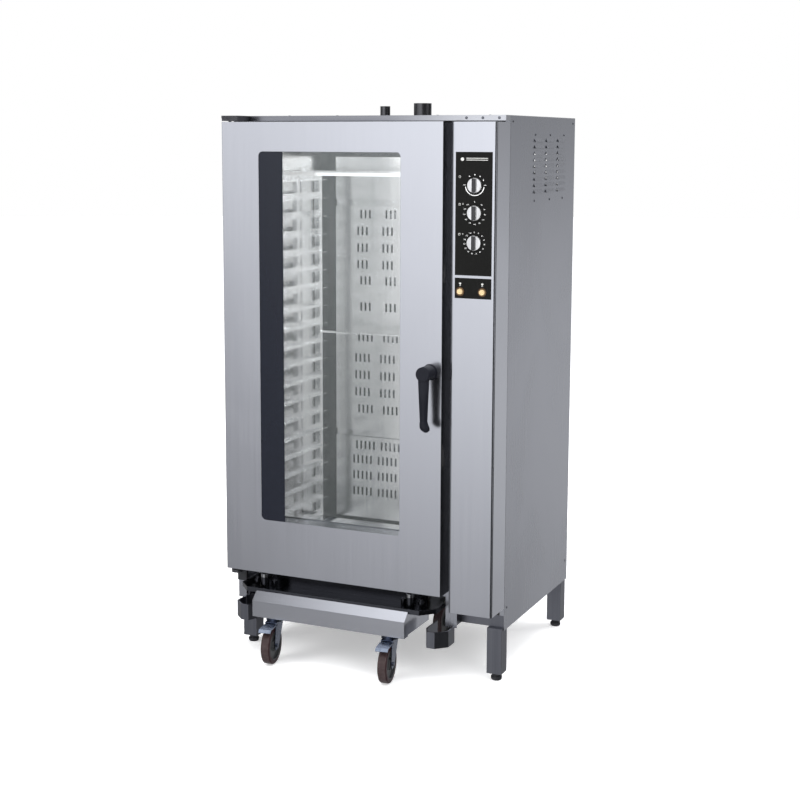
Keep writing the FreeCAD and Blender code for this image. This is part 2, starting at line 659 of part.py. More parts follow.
def vent_stacks():
    solids = []
    for x, y, r, top in STACKS.values():
        pipe = tube((x, y, CAVITY[5] + SHEET), (x, y, top), r, r - 2)
        collar = tube((x, y, TOP_Z), (x, y, TOP_Z + 3), r + 6, r)
        solids.append(joined([pipe, collar]))
    return group(solids)


def cavity_lamps():
    x = CAVITY[1]
    solids = []
    for z in LAMP_Z:
        lens = rod((x - 6, 200, z), (x, 200, z), 34)
        body = rod((x, 200, z), (x + 36, 200, z), 27.5)
        solids.append(joined([lens, body]))
    return group(solids)


# ---- services ------------------------------------------------------------------------

STEAM_X = 862.0
STEAM_Y = 300.0
STEAM_PIPE_Z = 800.0
INLET_R = 13.2
DRAIN_R = 25.0
DRAIN_Z = 270.0
GLAND_BORE_R = 9.0
PORT_END = 788.0
REAR_PORTS = ((862.0, 320.0, 14.0), (862.0, 390.0, 14.0), (900.0, 480.0, 16.0),
              (FAN_X, DRAIN_Z, DRAIN_R + 1))


def steam_generator():
    tank = rod((STEAM_X, STEAM_Y, 300), (STEAM_X, STEAM_Y, 700), 62)
    flange = rod((STEAM_X, STEAM_Y, 690), (STEAM_X, STEAM_Y, 704), 72)
    foot = block(STEAM_X - 72, STEAM_X + 72, STEAM_Y - 50, STEAM_Y + 50, 296, 302)
    legs_under = [block(STEAM_X - 72, STEAM_X - 66, STEAM_Y - 50, STEAM_Y + 50, 240, 302),
                  block(STEAM_X + 66, STEAM_X + 72, STEAM_Y - 50, STEAM_Y + 50, 240, 302)]
    shelf = block(CHANNEL[1] + 4, WIDTH - 4, STEAM_Y - 60, STEAM_Y + 60, BEAM_Z + BEAM, 240)
    riser = rod((STEAM_X, STEAM_Y, 704), (STEAM_X, STEAM_Y, STEAM_PIPE_Z), 15)
    elbow = Part.makeSphere(15, Vector(STEAM_X, STEAM_Y, STEAM_PIPE_Z))
    feed = rod((CAVITY[1] + SHEET, STEAM_Y, STEAM_PIPE_Z), (STEAM_X, STEAM_Y, STEAM_PIPE_Z), 15)
    return joined([tank, flange, foot, shelf, riser, elbow, feed] + legs_under)


def service_fittings():
    solids = []
    for x, z, _ in REAR_PORTS[:2]:
        nipple = rod((x, DEPTH, z), (x, PORT_END, z), INLET_R)
        collar = Part.makeCylinder(20, 8, Vector(x, DEPTH, z), BACK)
        valve = block(x - 22, x + 22, DEPTH - 70, DEPTH - 8, z - 20, z + 20)
        neck = rod((x, DEPTH - 10, z), (x, DEPTH, z), INLET_R)
        bore = rod((x, DEPTH - 20, z), (x, PORT_END + 2, z), 9)
        solids.append(joined([nipple, collar, valve, neck]).cut(bore))
    x, z, _ = REAR_PORTS[2]
    gland = joined([rod((x, DEPTH, z), (x, DEPTH + 8, z), 20), rod((x, DEPTH - 12, z), (x, PORT_END - 4, z), 15)])
    solids.append(gland.cut(rod((x, DEPTH - 20, z), (x, PORT_END, z), GLAND_BORE_R)))
    drain = joined([rod((FAN_X, DEPTH, DRAIN_Z), (FAN_X, DEPTH + 4, DRAIN_Z), DRAIN_R + 7),
                    rod((FAN_X, 600, CAVITY[4] - SHEET), (FAN_X, 600, DRAIN_Z), DRAIN_R),
                    Part.makeSphere(DRAIN_R, Vector(FAN_X, 600, DRAIN_Z)),
                    rod((FAN_X, 600, DRAIN_Z), (FAN_X, PORT_END, DRAIN_Z), DRAIN_R)])
    bores = [rod((FAN_X, 600, CAVITY[4] + 5), (FAN_X, 600, DRAIN_Z), DRAIN_R - 3),
             Part.makeSphere(DRAIN_R - 3, Vector(FAN_X, 600, DRAIN_Z)),
             rod((FAN_X, 600, DRAIN_Z), (FAN_X, PORT_END + 5, DRAIN_Z), DRAIN_R - 3)]
    solids.append(drain.cut(bores))
    return group(solids)


def electrical_tray():
    x0 = CAVITY[1] + 42
    plate = block(x0, x0 + 2, 200, 640, 950, 1560)
    rails = [block(x0 + 2, x0 + 9, 210, 630, z, z + 35) for z in (1090, 1400)]
    contactors = [block(x0 + 9, x0 + 84, 225 + 62 * k, 275 + 62 * k, z - 25, z + 60)
                  for k in range(6) for z in (1090, 1400)]
    stays = [block(x0 - 5, x0, y, y + 20, z, z + 20) for y in (240, 600) for z in (960, 1530)]
    return joined([plate] + rails + contactors + stays)


def trolley_guides():
    """Bent strips under the front corners that steer the trolley in between the legs."""
    mid = TROLLEY_X
    top = BOTTOM_Z - 2
    plan = [(mid + 388, 96), (mid + 388, 46), (mid + 356, 14), (mid + 332, 14), (mid + 318, 44), (mid + 318, 130)]
    tab = block(mid + 388, mid + 392, FRAME_Y + 3, 96, top, BEAM_Z)
    right = joined([strip(plan, 4.0, 112, top), tab])
    return group([right, mirrored(right, TROLLEY_X)])


# ---- trolley -------------------------------------------------------------------------

def tray_outline(inset, z):
    """The tray's plan: a rectangle with its two front corners cut off."""
    half = TRAY_HALF - inset
    front = TRAY_FRONT + inset
    chamfer = TRAY_CHAMFER - 0.4 * inset
    return [(TROLLEY_X - half, TRAY_BACK, z), (TROLLEY_X - half, front + chamfer, z),
            (TROLLEY_X - half + chamfer, front, z), (TROLLEY_X + half - chamfer, front, z),
            (TROLLEY_X + half, front + chamfer, z), (TROLLEY_X + half, TRAY_BACK, z)]


def trolley_tray():
    z0, z1 = TRAY_Z
    rim = 8.0
    plate = prism(tray_outline(0, z0), (0, 0, z1 - z0))
    well = prism(tray_outline(rim, z0 + 2), (0, 0, z1))
    tray = plate.cut(well)
    sill = block(TROLLEY_X - 300, TROLLEY_X + 300, 79, 80.5, z0 + 1, 281)
    posts = []
    for side in (-1, 1):
        x = TROLLEY_X + side * POST_OFFSET
        posts.append(tube((x, 20, z0 + 1), (x, 20, 281), 14, 11))
        bolt_x = TROLLEY_X + side * (POST_OFFSET + 34)
        posts.append(rod((bolt_x, 30, z0 + 1), (bolt_x, 30, 262), 6))
        posts.append(rod((bolt_x, 30, 246), (bolt_x, 30, 256), 11))
        stud_x = TROLLEY_X + side * (POST_OFFSET - 30)
        posts.append(rod((stud_x, 34, z0 + 1), (stud_x, 34, 258), 9))
    return joined([tray, sill] + posts)


def trolley_apron():
    half = APRON_HALF
    x0 = TROLLEY_X - half
    t = SHEET
    top, fold, low = (-22.0, 233.0), (-50.0, 207.0), (-50.0, 152.0)
    section = [(x0, top[0], top[1]), (x0, fold[0], fold[1]), (x0, low[0], low[1]),
               (x0, low[0] + t, low[1]), (x0, fold[0] + t, fold[1] - 0.7), (x0, top[0] + t, top[1] - 2.0)]
    cover = prism(section, (2 * half, 0, 0))
    hem = block(x0, x0 + 2 * half, low[0], low[0] + 12, low[1], low[1] + t)
    cheeks = []
    for x in (x0, x0 + 2 * half - t):
        cheeks.append(block(x, x + t, -24, SKIRT_END, CHASSIS_Z[0], TRAY_Z[0] - 0.5))
        side = [(x, top[0] + t, top[1] - 2), (x, fold[0] + t, fold[1] - 0.7), (x, low[0] + t, low[1]),
                (x, -20, low[1]), (x, -20, top[1] - 8)]
        cheeks.append(prism(side, (t, 0, 0)))
    return joined([cover, hem] + cheeks)


def caster_cheeks(x, swivel_y):
    """The two side plates of a caster fork, with the wheel's axle across them."""
    y = swivel_y
    side = [(-42, 139), (26, 139), (8, 105), (-24, 50), (-50, 48), (-54, 70)]
    plates = []
    for x0 in (x - WHEEL_HALF - 5, x + WHEEL_HALF + 2):
        plates.append(prism([(x0, y + u, z) for u, z in side], (3, 0, 0)))
    axle_y = y - CASTER_TRAIL
    axle = rod((x - WHEEL_HALF - 9, axle_y, WHEEL_R), (x + WHEEL_HALF + 9, axle_y, WHEEL_R), AXLE_R)
    return plates + [axle]


def trolley_chassis():
    z0, z1 = CHASSIS_Z
    x = TROLLEY_X
    pieces = []
    for side in (-1, 1):
        cx = x + side * CASTER_OFFSET
        pieces.append(block(cx - 20, cx + 20, -34, 470, z0, z1))
        pieces.append(block(cx - 12, cx + 12, -20, 460, z1, TRAY_Z[0]))
        plate = block(cx - 45, cx + 45, FRONT_SWIVEL_Y - 20, FRONT_SWIVEL_Y + 45, z0 - 5, z0)
        bore = rod((cx, FRONT_SWIVEL_Y, z0 - 9), (cx, FRONT_SWIVEL_Y, z0 + 16), AXLE_R + RUNNING_GAP)
        pieces[-2] = pieces[-2].cut(bore)
        pieces.append(plate.cut(bore))
        rear_y = REAR_AXLE_Y + CASTER_TRAIL
        pieces.append(block(cx - 45, cx + 45, rear_y - 60, rear_y + 2, z0 - 18, z0))
        pieces += caster_cheeks(cx, rear_y)
    for y in (-34, 210, 440):
        pieces.append(block(x - CASTER_OFFSET + 20, x + CASTER_OFFSET - 20, y, y + 30, z0, z1))
    return joined(pieces)


def drip_pan():
    x0, x1, y0, y1 = TROLLEY_X - 262, TROLLEY_X + 262, 100, 550
    outer = block(x0, x1, y0, y1, 330, 352)
    inner = block(x0 + 2, x1 - 2, y0 + 2, y1 - 2, 332, 360)
    front_wall = block(x0, x1, y0, y0 + 2, TRAY_Z[0] + 2, 332)
    stays = [block(x, x + 20, 440, 460, TRAY_Z[0] + 2, 330) for x in (x0, x1 - 20)]
    ribs = [block(x0 + 60, x1 - 60, y, y + 6, 332, 336) for y in (170, 200, 230)]
    return joined([outer.cut(inner), front_wall] + stays + ribs)


def rack_frame():
    z0 = TRAY_Z[0] + 2
    pieces = []
    for y in RACK_POST_Y:
        for x in (TROLLEY_X - RACK_HALF - RACK_POST, TROLLEY_X + RACK_HALF):
            pieces.append(block(x, x + RACK_POST, y, y + RACK_POST, z0, RACK_TOP))
    y0 = RACK_POST_Y[0]
    y1 = RACK_POST_Y[2] + RACK_POST
    for x in (TROLLEY_X - RACK_HALF - RACK_POST, TROLLEY_X + RACK_HALF):
        pieces.append(block(x, x + RACK_POST, y0, y1, RACK_TOP - 15, RACK_TOP))
    for y in (y0, y1 - RACK_POST):
        pieces.append(block(TROLLEY_X - RACK_HALF, TROLLEY_X + RACK_HALF, y, y + RACK_POST,
                            RACK_TOP - 10, RACK_TOP))
    x0 = TROLLEY_X - RACK_HALF - 4
    x1 = TROLLEY_X + RACK_HALF + 4
    pieces.append(rod((x0, y1 + 2, 1056), (x1, y1 + 2, 1056), 4))
    return joined(pieces)


def rack_runners():
    y0 = RACK_POST_Y[0] + 2
    y1 = RACK_POST_Y[2] + RACK_POST - 2
    x = TROLLEY_X - RACK_HALF
    solids = []
    for row in range(RUNNER_COUNT):
        z = RUNNER_FIRST_Z + row * RUNNER_PITCH
        section = [(x, y0, z), (x + 20, y0, z), (x + 20, y0, z + 1.5), (x + 1.5, y0, z + 1.5),
                   (x + 1.5, y0, z + 22), (x, y0, z + 22)]
        runner = prism(section, (0, y1 - y0, 0))
        solids += [runner, mirrored(runner, TROLLEY_X)]
    return group(solids)


# ---- casters -------------------------------------------------------------------------

def turned_caster(shape, x):
    """Turns a front caster's piece about its upright swivel axis, to its resting angle."""
    turned = shape.copy()
    turned.rotate(Vector(x, FRONT_SWIVEL_Y, 0), UP, CASTER_TURN)
    return turned


def caster_fork(x):
    y = FRONT_SWIVEL_Y
    crown = rod((x, y, 138), (x, y, CHASSIS_Z[0] - 5.5), 30)
    bridge = block(x - WHEEL_HALF - 5, x + WHEEL_HALF + 5, y - 40, y + 24, 136, 140)
    kingpin = rod((x, y, 140), (x, y, CHASSIS_Z[0] + 14), AXLE_R)
    pin_y, pin_z = y + PEDAL_AXIS[0], PEDAL_AXIS[1]
    pedal_pin = rod((x - WHEEL_HALF - 6, pin_y, pin_z), (x + WHEEL_HALF + 6, pin_y, pin_z), PEDAL_PIN_R)
    room = block(x - WHEEL_HALF - 2, x + WHEEL_HALF + 2, y - 60, y - 22, 120, 137.5)
    fork = joined([crown, bridge.cut(room)] + caster_cheeks(x, y)).cut(room)
    return turned_caster(joined([fork, pedal_pin]), x)


def caster_wheel(x, axle_y):
    half = WHEEL_HALF
    tyre = rod((x - half, axle_y, WHEEL_R), (x + half, axle_y, WHEEL_R), WHEEL_R)
    tyre = tyre.makeFillet(5.0, [e for e in tyre.Edges if e.BoundBox.XLength < 1])
    recesses = [tube((x0, axle_y, WHEEL_R), (x0 + 6, axle_y, WHEEL_R), 46, 20) for x0 in (x - half, x + half - 6)]
    bore = rod((x - half - 1, axle_y, WHEEL_R), (x + half + 1, axle_y, WHEEL_R), AXLE_R + RUNNING_GAP)
    return tyre.cut(recesses + [bore])


def brake_pedal(x):
    y = FRONT_SWIVEL_Y + PEDAL_AXIS[0]
    z = PEDAL_AXIS[1]
    half = WHEEL_HALF - 1
    boss = rod((x - half, y, z), (x + half, y, z), 5.5)
    neck = block(x - half, x + half, y - 18, y, z + 1, z + 4)
    tread = prism([(x - 21, y - 16, z + 1), (x - 21, y - 16, z + 4), (x - 21, y - 60, z + 1),
                   (x - 21, y - 68, z - 8), (x - 21, y - 66, z - 10), (x - 21, y - 58, z - 2)], (42, 0, 0))
    bore = rod((x - 30, y, z), (x + 30, y, z), PEDAL_PIN_R + RUNNING_GAP)
    return turned_caster(joined([boss, neck, tread]).cut(bore), x)


# ---- the whole part ------------------------------------------------------------------

def all_parts():
    parts = {}
    for make in (side_panel_right, side_panel_left, rear_panel, top_panel, top_front_trim, base_frame,
                 legs, levelling_feet, panel_screws, front_frame, door_gasket, hinge_brackets,
                 latch_keeper, control_fascia, control_overlays, rotary_switches, button_switches,
                 door_outer_skin, door_inner_panel, outer_glass, inner_glass, window_spacer,
                 hinge_bushes, door_handle, handle_spindle, cavity_liner, fan_baffle_lower,
                 fan_baffle_middle, fan_baffle_upper, insulation, fan_motors, heating_elements,
                 vent_stacks, cavity_lamps, steam_generator, service_fittings, electrical_tray,
                 trolley_guides, trolley_tray, trolley_apron, trolley_chassis, drip_pan, rack_frame,
                 rack_runners):
        parts[make.__name__] = make()
    for name, z in KNOB_Z.items():
        parts[name] = knob(z)
    for name, x in BUTTON_X.items():
        parts[name] = button(x)
    for place, z in zip(("lower", "middle", "upper"), FAN_Z):
        parts["fan_wheel_" + place] = fan_wheel(z)
    for side, sign in (("left", -1), ("right", 1)):
        x = TROLLEY_X + sign * CASTER_OFFSET
        front_axle_y = FRONT_SWIVEL_Y - CASTER_TRAIL
        parts["caster_fork_" + side] = caster_fork(x)
        parts["brake_pedal_" + side] = brake_pedal(x)
        parts["front_wheel_" + side] = turned_caster(caster_wheel(x, front_axle_y), x)
        parts["rear_wheel_" + side] = caster_wheel(x, REAR_AXLE_Y)
    return parts


def save_all():
    os.makedirs("parts", exist_ok=True)
    low = [1e9] * 3
    high = [-1e9] * 3
    for name, shape in all_parts().items():
        shape.translate(Vector(-MIDDLE_X, -MIDDLE_Y, 0))
        if not shape.isValid():
            print("not valid:", name)
        shape.exportStep("parts/" + name + ".step")
        box = shape.optimalBoundingBox(False)
        low = [min(a, b) for a, b in zip(low, (box.XMin, box.YMin, box.ZMin))]
        high = [max(a, b) for a, b in zip(high, (box.XMax, box.YMax, box.ZMax))]
    print("outline from", [round(v, 2) for v in low], "to", [round(v, 2) for v in high])


save_all()
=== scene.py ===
import bmesh
import bpy
import json
import math
from mathutils import Matrix, Vector


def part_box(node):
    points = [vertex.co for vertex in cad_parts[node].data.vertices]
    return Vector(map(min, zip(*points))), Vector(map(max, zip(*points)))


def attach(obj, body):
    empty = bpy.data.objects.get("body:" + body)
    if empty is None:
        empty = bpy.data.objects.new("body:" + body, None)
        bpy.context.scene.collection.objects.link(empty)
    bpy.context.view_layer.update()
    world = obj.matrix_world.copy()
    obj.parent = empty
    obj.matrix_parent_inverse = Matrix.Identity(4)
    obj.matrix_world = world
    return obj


# Looks for the combi steamer oven: materials on the CAD nodes, the printed marks, the light
# and the camera.

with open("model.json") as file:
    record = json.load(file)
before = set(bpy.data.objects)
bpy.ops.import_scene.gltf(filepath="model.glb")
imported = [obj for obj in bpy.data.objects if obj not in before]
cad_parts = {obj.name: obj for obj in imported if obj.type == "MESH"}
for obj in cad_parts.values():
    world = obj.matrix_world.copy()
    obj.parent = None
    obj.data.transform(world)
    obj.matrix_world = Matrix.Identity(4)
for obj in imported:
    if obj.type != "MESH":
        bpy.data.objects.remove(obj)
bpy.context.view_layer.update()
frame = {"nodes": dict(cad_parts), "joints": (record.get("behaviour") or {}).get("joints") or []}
nodes = frame["nodes"]


# ---- material nodes -------------------------------------------------------------------

class Net:
    """A material's node tree, with short calls for the nodes this scene needs."""

    def __init__(self, name):
        self.material = bpy.data.materials.new(name)
        self.material.use_nodes = True
        self.tree = self.material.node_tree
        self.shader = self.tree.nodes["Principled BSDF"]
        self.coords = self.add("ShaderNodeTexCoord").outputs["Object"]

    def add(self, kind, inputs=None, **settings):
        node = self.tree.nodes.new(kind)
        for key, value in settings.items():
            setattr(node, key, value)
        for key, value in (inputs or {}).items():
            self.put(node.inputs[key], value)
        return node

    def put(self, socket, value):
        if isinstance(value, bpy.types.NodeSocket):
            self.tree.links.new(value, socket)
        else:
            socket.default_value = value

    def set(self, **values):
        for key, value in values.items():
            self.put(self.shader.inputs[key.replace("_", " ")], value)

    def noise(self, scale, detail=3.0, roughness=0.55, distortion=0.0):
        """Noise between 0 and 1, with its own scale along each axis."""
        place = self.add("ShaderNodeMapping", {"Vector": self.coords, "Scale": scale})
        texture = self.add("ShaderNodeTexNoise", {
            "Vector": place.outputs["Vector"], "Scale": 1.0, "Detail": detail,
            "Roughness": roughness, "Distortion": distortion})
        return texture.outputs["Fac"]

    def math(self, operation, a, b=0.0, clamp=False):
        inputs = {0: a, 1: b}
        return self.add("ShaderNodeMath", inputs, operation=operation, use_clamp=clamp).outputs[0]

    def span(self, value, low, high, out_low, out_high):
        """Maps a value smoothly from one range to another."""
        inputs = {"Value": value, "From Min": low, "From Max": high,
                  "To Min": out_low, "To Max": out_high}
        node = self.add("ShaderNodeMapRange", inputs, interpolation_type="SMOOTHSTEP")
        return node.outputs["Result"]

    def mix(self, factor, a, b):
        node = self.add("ShaderNodeMix", data_type="RGBA")
        self.put(node.inputs["Factor"], factor)
        self.put(node.inputs["A"], a if isinstance(a, bpy.types.NodeSocket) else (*a, 1.0))
        self.put(node.inputs["B"], b if isinstance(b, bpy.types.NodeSocket) else (*b, 1.0))
        return node.outputs["Result"]

    def bump(self, height, strength, distance, edge=0.0):
        inputs = {"Height": height, "Strength": strength, "Distance": distance}
        if edge:
            bevel = self.add("ShaderNodeBevel", {"Radius": edge}, samples=3)
            inputs["Normal"] = bevel.outputs["Normal"]
        self.set(Normal=self.add("ShaderNodeBump", inputs).outputs["Normal"])


GRAIN = {"x": (4.0, 900.0, 900.0), "y": (900.0, 4.0, 900.0), "z": (900.0, 900.0, 4.0)}
STREAK = {"x": (1.5, 70.0, 70.0), "y": (70.0, 1.5, 70.0), "z": (70.0, 70.0, 1.5)}


def steel(name, dark, light, rough, along="z", relief=0.03, edge=0.0012, smears=0.015,
          wave=0.0, shaded=None):
    """Rolled and brushed stainless sheet: fine grain, wider streaks, wiped smears.
    shaded is (axis, from, to, colour): painted light or shade, the sheet's colour turns to that one
    from here to there."""
    net = Net(name)
    grain = net.noise(GRAIN[along], 2.0)
    streak = net.noise(STREAK[along], 3.0)
    cloud = net.noise((2.5, 2.5, 1.8), 4.0, 0.6, 0.6)
    tone = net.math("ADD", net.math("MULTIPLY", grain, 0.35), net.math("MULTIPLY", streak, 0.35))
    tone = net.math("ADD", tone, net.math("MULTIPLY", cloud, 0.30))
    color = net.mix(net.span(tone, 0.3, 0.7, 0.0, 1.0), dark, light)
    if shaded:
        # painted light and shade: the colour moves to the given one along one axis
        place = net.add("ShaderNodeSeparateXYZ", {"Vector": net.coords}).outputs[shaded[0]]
        color = net.mix(net.span(place, shaded[1], shaded[2], 0.0, 1.0), color, shaded[3])
    net.set(Metallic=1.0, Base_Color=color)
    smear = net.math("MULTIPLY", net.span(cloud, 0.35, 0.7, -1.0, 1.0), smears)
    level = net.math("ADD", net.span(tone, 0.3, 0.7, rough - 0.015, rough + 0.015), smear)
    net.set(Roughness=level)
    height = grain
    if wave:
        swell = net.noise((5.0, 5.0, 4.0), 1.0)
        height = net.math("ADD", grain, net.math("MULTIPLY", swell, wave))
    net.bump(height, relief, 0.0004, edge)
    return net.material


def zinc_plate(name, base, tint, rough):
    """Plated or galvanised sheet: crystal patches in tone, light scuffs."""
    net = Net(name)
    cells = net.add("ShaderNodeTexVoronoi", {
        "Vector": net.coords, "Scale": 120.0, "Randomness": 1.0})
    patch = net.add("ShaderNodeSeparateColor", {"Color": cells.outputs["Color"]}).outputs["Red"]
    dust = net.noise((30.0, 30.0, 30.0), 5.0, 0.65)
    net.set(Metallic=1.0, Base_Color=net.mix(net.math("MULTIPLY", patch, 0.6), base, tint))
    net.set(Roughness=net.span(dust, 0.3, 0.7, rough - 0.07, rough + 0.08))
    net.bump(dust, 0.12, 0.0003, 0.0008)
    return net.material


def moulded(name, base, worn, rough, scale=900.0, relief=0.12, edge=0.0008, coat=0.0,
            gloss=0.3):
    """Moulded plastic or rubber: fine spark texture, slight bloom, paler where handled."""
    net = Net(name)
    texture = net.noise((scale, scale, scale), 3.0, 0.6)
    bloom = net.noise((14.0, 14.0, 10.0), 4.0, 0.6, 0.4)
    net.set(Base_Color=net.mix(net.span(bloom, 0.35, 0.75, 0.0, 1.0), base, worn))
    net.set(Roughness=net.span(bloom, 0.3, 0.7, rough - 0.05, rough + 0.06))
    net.set(Coat_Weight=coat, Coat_Roughness=0.15, Specular_IOR_Level=gloss)
    net.bump(texture, relief, 0.0002, edge)
    return net.material


def pane(name, tint):
    """Clear float glass as a thin sheet: it mirrors at its surface and lets the rest through."""
    net = Net(name)
    rim = net.add("ShaderNodeFresnel", {"IOR": 1.5}).outputs["Fac"]
    film = net.noise((6.0, 6.0, 4.0), 4.0, 0.6, 0.8)
    haze = net.span(film, 0.4, 0.8, 0.0, 0.015)
    net.set(Metallic=1.0, Base_Color=net.mix(film, tint, (0.93, 0.95, 0.96)))
    net.set(Roughness=net.span(film, 0.3, 0.7, 0.01, 0.04))
    net.set(Alpha=net.math("ADD", rim, haze, True))
    return net.material


def printed_film(name):
    """Black polyester overlay: a fine matt texture under a faint sheen, with hair scratches."""
    net = Net(name)
    fine = net.noise((1400.0, 1400.0, 1400.0), 2.0)
    hair = net.noise((260.0, 260.0, 14.0), 3.0, 0.6, 0.5)
    net.set(Base_Color=net.mix(net.span(hair, 0.55, 0.8, 0.0, 1.0),
                               (0.0060, 0.0060, 0.0056), (0.011, 0.011, 0.0105)))
    net.set(Roughness=net.span(hair, 0.3, 0.7, 0.34, 0.46), Specular_IOR_Level=0.12)
    net.bump(fine, 0.06, 0.0001)
    return net.material


def ceramic_print(name):
    """The dark enamel printed on the back of the outer pane, as it looks through the glass."""
    net = Net(name)
    cloud = net.noise((3.0, 3.0, 1.2), 3.0, 0.5, 0.3)
    dots = net.noise((1600.0, 1600.0, 1600.0), 1.0)
    net.set(Base_Color=net.mix(cloud, (0.0060, 0.0075, 0.0130), (0.0090, 0.0105, 0.0165)))
    net.set(Roughness=net.span(cloud, 0.3, 0.7, 0.06, 0.11), Specular_IOR_Level=0.36)
    net.bump(dots, 0.01, 0.0001)
    return net.material


def ink(name, color):
    """Screen printed ink: slightly uneven, worn thin in places."""
    net = Net(name)
    wear = net.noise((420.0, 420.0, 420.0), 3.0, 0.6)
    faded = tuple(channel * 0.75 for channel in color)
    net.set(Base_Color=net.mix(net.span(wear, 0.5, 0.8, 0.0, 1.0), color, faded))
    net.set(Roughness=net.span(wear, 0.3, 0.7, 0.42, 0.55))
    net.bump(wear, 0.05, 0.0001)
    return net.material


def distance_from_axis(net, point, axis):
    """How far the shaded point is from a line through point along axis."""
    kind = "ShaderNodeVectorMath"
    away = net.add(kind, {0: net.coords, 1: point}, operation="SUBTRACT").outputs["Vector"]
    across = net.add(kind, {0: away, 1: axis}, operation="CROSS_PRODUCT").outputs["Vector"]
    return net.add(kind, {0: across}, operation="LENGTH").outputs["Value"]


HUB_RADIUS = 0.0480
TREAD_RADIUS = 0.0625


def caster_wheel(name, centre, axis):
    """A dark red polyurethane tread on a dark grey moulded hub, dusty on its running face."""
    net = Net(name)
    radius = distance_from_axis(net, centre, axis)
    on_tread = net.span(radius, HUB_RADIUS, HUB_RADIUS + 0.0006, 0.0, 1.0)
    dust = net.noise((60.0, 60.0, 60.0), 5.0, 0.65, 0.3)
    fine = net.noise((900.0, 900.0, 900.0), 2.0)
    tread = net.mix(net.span(dust, 0.4, 0.75, 0.0, 0.55),
                    (0.0200, 0.0045, 0.0060), (0.042, 0.018, 0.020))
    hub = net.mix(dust, (0.030, 0.032, 0.033), (0.062, 0.064, 0.066))
    running = net.span(radius, TREAD_RADIUS - 0.0025, TREAD_RADIUS - 0.0003, 0.0, 0.5)
    running = net.math("MULTIPLY", running, dust)
    net.set(Base_Color=net.mix(running, net.mix(on_tread, hub, tread), (0.09, 0.08, 0.075)))
    net.set(Roughness=net.span(dust, 0.3, 0.7, 0.34, 0.52), Specular_IOR_Level=0.3)
    net.bump(fine, 0.10, 0.0002, 0.0010)
    return net.material


GRIP_HALF = 0.0062


def knob_face(name, centre_x, front_y):
    """A turned metal disc with a dark moulded grip bar standing on it."""
    net = Net(name)
    parts = net.add("ShaderNodeSeparateXYZ", {"Vector": net.coords}).outputs
    off = net.math("ABSOLUTE", net.math("SUBTRACT", parts["X"], centre_x))
    grip = net.math("MULTIPLY", net.span(off, GRIP_HALF, GRIP_HALF + 0.0004, 1.0, 0.0),
                    net.span(parts["Y"], front_y, front_y + 0.0004, 1.0, 0.0))
    grain = net.noise((1500.0, 1500.0, 25.0), 3.0)
    streak = net.noise((260.0, 260.0, 9.0), 2.0)
    silver = net.mix(net.span(streak, 0.35, 0.65, 0.0, 1.0), (0.80, 0.80, 0.80), (0.98, 0.98, 0.98))
    net.set(Base_Color=net.mix(grip, silver, (0.020, 0.020, 0.022)))
    net.set(Metallic=net.math("SUBTRACT", 1.0, grip),
            Roughness=net.span(grain, 0.3, 0.7, 0.22, 0.36))
    net.bump(grain, 0.10, 0.0002, 0.0008)
    return net.material


def lamp_glass(name):
    """Frosted lamp cover, lit from behind."""
    net = Net(name)
    frost = net.noise((700.0, 700.0, 700.0), 3.0)
    net.set(Base_Color=net.mix(frost, (0.80, 0.80, 0.78), (0.92, 0.92, 0.90)),
            Roughness=net.span(frost, 0.3, 0.7, 0.2, 0.4))
    net.set(Emission_Color=(1.0, 0.96, 0.90, 1.0), Emission_Strength=5.0)
    net.bump(frost, 0.2, 0.0003)
    return net.material


def mineral_wool(name):
    """Pale yellow mineral wool, its fibres drawn out along the slab."""
    net = Net(name)
    fibre = net.noise((90.0, 420.0, 160.0), 6.0, 0.75, 2.5)
    net.set(Base_Color=net.mix(fibre, (0.34, 0.29, 0.16), (0.74, 0.68, 0.50)),
            Roughness=net.span(fibre, 0.3, 0.7, 0.85, 1.0))
    net.bump(fibre, 0.8, 0.002)
    return net.material


# ---- finishes for the CAD nodes -------------------------------------------------------

LILAC_DARK = (0.645, 0.658, 0.708)
LILAC_LIGHT = (0.680, 0.693, 0.742)
GREY_DARK = (0.500, 0.512, 0.556)
GREY_LIGHT = (0.545, 0.557, 0.600)
DULL_DARK = (0.19, 0.196, 0.225)
DULL_LIGHT = (0.25, 0.256, 0.285)
BRIGHT_DARK = (0.80, 0.81, 0.82)
BRIGHT_LIGHT = (0.94, 0.95, 0.95)
# painted shade for the door's free edge
DOOR_EDGE_SHADE = (0.012, 0.012, 0.015)
# painted shade for the liner behind the baffles
BAFFLE_SHADE = (0.06, 0.06, 0.06)

# where painted light and shade change a sheet's colour: painted shade on the door's free edge,
# behind the baffles and below the tray's rim, and a painted reflection lightening the trim to the
# right
door_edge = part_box("door_outer_skin")[1].x
trim_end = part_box("top_front_trim")[1].x
baffle_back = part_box("fan_baffle_middle")[1].y
tray_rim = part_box("trolley_tray")[1].z

# painted shade: the door's free edge face is painted near black
door_steel = steel("steel_door", LILAC_DARK, LILAC_LIGHT, 0.22,
                   shaded=("X", door_edge - 0.0010, door_edge - 0.0006, DOOR_EDGE_SHADE))
front = steel("steel_front", LILAC_DARK, LILAC_LIGHT, 0.22)
front_cross = steel("steel_front_cross", LILAC_DARK, LILAC_LIGHT, 0.20, "x")
# painted reflection: the trim and top panel turn from dark at the left to light towards the right
trim = steel("steel_trim", (0.26, 0.265, 0.29), (0.32, 0.325, 0.35), 0.24, "x",
             shaded=("X", 0.0, trim_end - 0.03, (0.62, 0.63, 0.66)))
side = steel("steel_side", GREY_DARK, GREY_LIGHT, 0.27, relief=0.015, wave=0.3)
inner = steel("steel_inner", GREY_DARK, GREY_LIGHT, 0.25)
dull = steel("steel_dull", DULL_DARK, DULL_LIGHT, 0.34)
